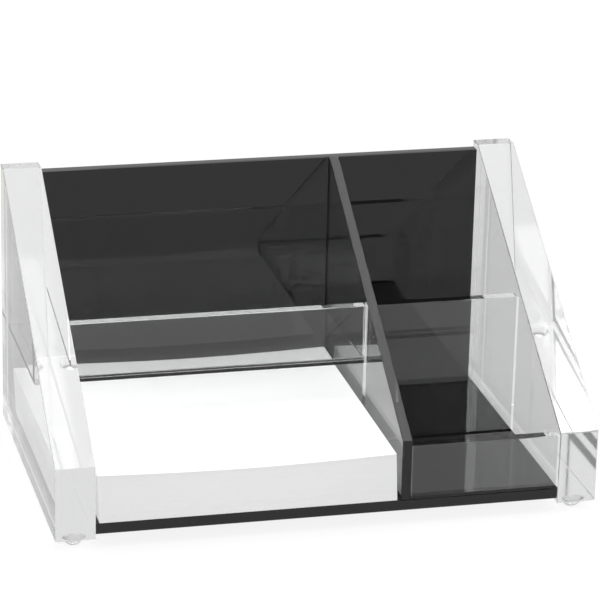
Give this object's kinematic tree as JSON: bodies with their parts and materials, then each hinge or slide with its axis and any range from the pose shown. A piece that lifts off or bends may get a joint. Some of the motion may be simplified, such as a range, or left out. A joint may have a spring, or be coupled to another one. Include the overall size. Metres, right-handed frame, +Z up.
{
  "type": "memo pad holder",
  "caption": "Clear and black acrylic desk holder for loose memo sheets, with a shelf tray above the sheets, a pen bay and a small front bay for paper clips.",
  "frame": {"origin": "on the surface that the feet stand on, under the middle of the outline seen from above", "axes": "+X to the right as the user sees the holder from the front, +Y to the back, +Z up"},
  "size_m": [0.165, 0.1, 0.0869],
  "materials": {
    "clear_acrylic_panels": "thick clear cast acrylic with polished faces and softly bevelled polished edges",
    "clear_acrylic_walls": "thin clear acrylic sheet with polished faces and edges",
    "black_acrylic": "opaque black acrylic sheet with a mirror gloss",
    "clear_bumper": "soft clear moulded bumper",
    "memo_paper": "loose plain white memo sheets"
  },
  "bodies": {
    "holder": {"left_side_panel": "clear_acrylic_panels", "right_side_panel": "clear_acrylic_panels", "base_panel": "black_acrylic", "back_panel": "black_acrylic", "bay_divider": "clear_acrylic_walls", "tray_floor": "clear_acrylic_walls", "tray_front_lip": "clear_acrylic_walls", "pen_bay_partition": "clear_acrylic_walls", "clip_bay_lip": "clear_acrylic_walls", "foot_front_left": "clear_bumper", "foot_front_right": "clear_bumper", "foot_rear_left": "clear_bumper", "foot_rear_right": "clear_bumper"},
    "memo_stack": {"memo_paper_stack": "memo_paper"}
  },
  "joints": [
    {"name": "memo_stack_slide", "type": "slide", "parent": "holder", "child": "memo_stack", "axis": [0, -1, 0], "range_m": [0, 0.09]}
  ]
}
